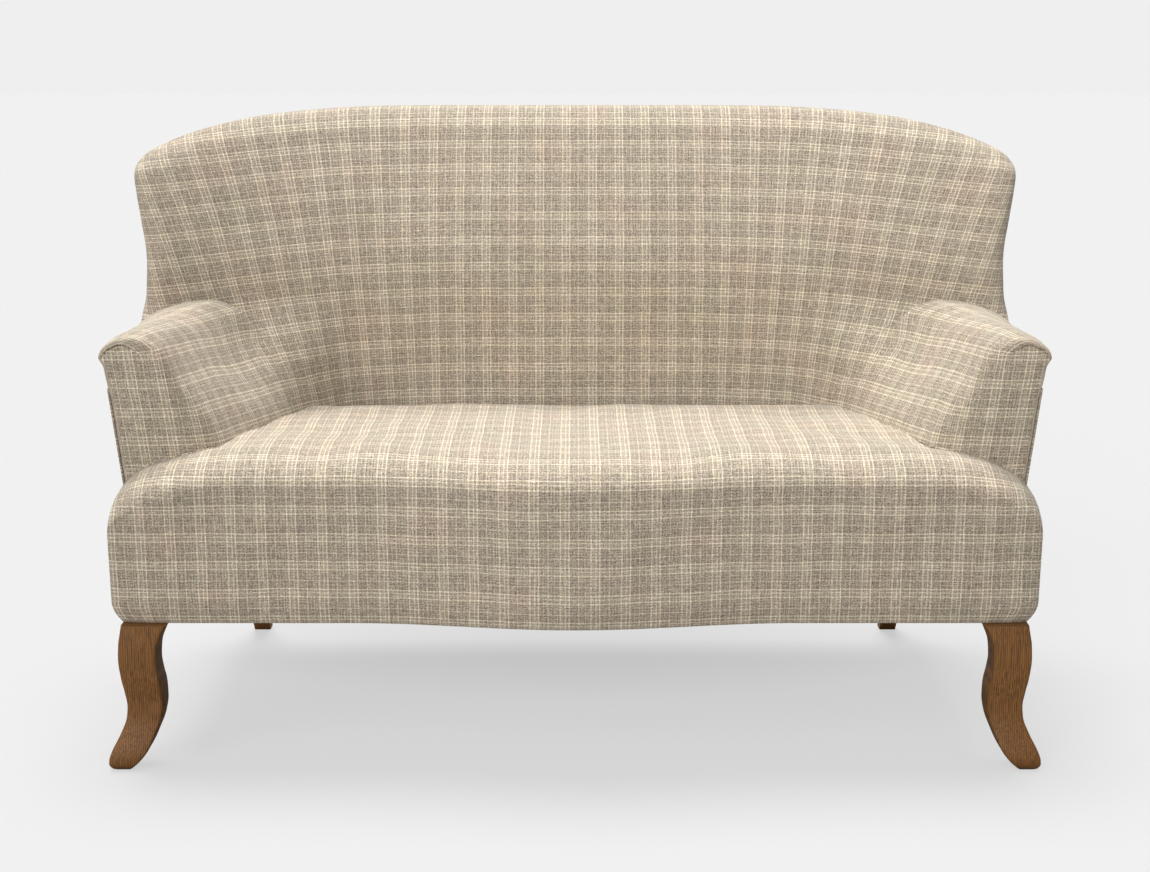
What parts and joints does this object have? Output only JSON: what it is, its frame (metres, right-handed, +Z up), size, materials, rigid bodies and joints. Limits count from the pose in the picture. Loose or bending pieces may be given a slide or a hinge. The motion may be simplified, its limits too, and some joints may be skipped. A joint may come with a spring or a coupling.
{
  "type": "high back settee",
  "caption": "Upholstered settee with a raked back that curves forward into wings, flared padded arms, a sprung T-shaped seat with a bowed front, and cabriole front legs.",
  "frame": {"origin": "on the floor, at the middle of the footprint box", "axes": "+X to the right as seen from the front, +Y from front to back, +Z up"},
  "size_m": [1.514, 0.8596, 1.004],
  "materials": {
    "plaid_upholstery": "woven wool plaid in taupe and greige with cream overcheck lines",
    "foam": "moulded and cut upholstery foam",
    "wadding": "bonded fibre wadding",
    "underside_cloth": "black spun-bonded bottoming cloth",
    "hessian": "plain-woven hessian",
    "webbing": "elastic webbing",
    "spring_steel": "drawn wire and zinc-plated steel",
    "stained_leg_wood": "mid-brown stained hardwood under satin lacquer",
    "frame_timber": "planed, unfinished hardwood"
  },
  "bodies": {
    "root": {"seat_cover": "plaid_upholstery", "seat_foam": "foam", "apron_pad": "wadding", "inside_back_cover": "plaid_upholstery", "back_foam": "foam", "outside_back_cover": "plaid_upholstery", "arm_cover_left": "plaid_upholstery", "arm_cover_right": "plaid_upholstery", "arm_foam_left": "foam", "arm_foam_right": "foam", "arm_facing_left": "plaid_upholstery", "arm_facing_right": "plaid_upholstery", "outside_arm_cover_left": "plaid_upholstery", "outside_arm_cover_right": "plaid_upholstery", "dust_cover": "underside_cloth", "front_rail": "frame_timber", "rear_rail": "frame_timber", "side_rail_left": "frame_timber", "side_rail_right": "frame_timber", "centre_rail": "frame_timber", "corner_blocks": "frame_timber", "arm_post_left": "frame_timber", "arm_post_right": "frame_timber", "arm_rail_left": "frame_timber", "arm_rail_right": "frame_timber", "arm_liner_rail_left": "frame_timber", "arm_liner_rail_right": "frame_timber", "back_post_left": "frame_timber", "back_post_right": "frame_timber", "wing_board_left": "frame_timber", "wing_board_right": "frame_timber", "top_rail": "frame_timber", "lower_back_rail": "frame_timber", "back_uprights": "frame_timber", "seat_springs": "spring_steel", "spring_clips": "spring_steel", "spring_platform": "hessian", "back_webbing": "webbing", "front_leg_left": "stained_leg_wood", "front_leg_right": "stained_leg_wood", "rear_leg_left": "stained_leg_wood", "rear_leg_right": "stained_leg_wood", "leg_bolts": "spring_steel"}
  },
  "joints": []
}
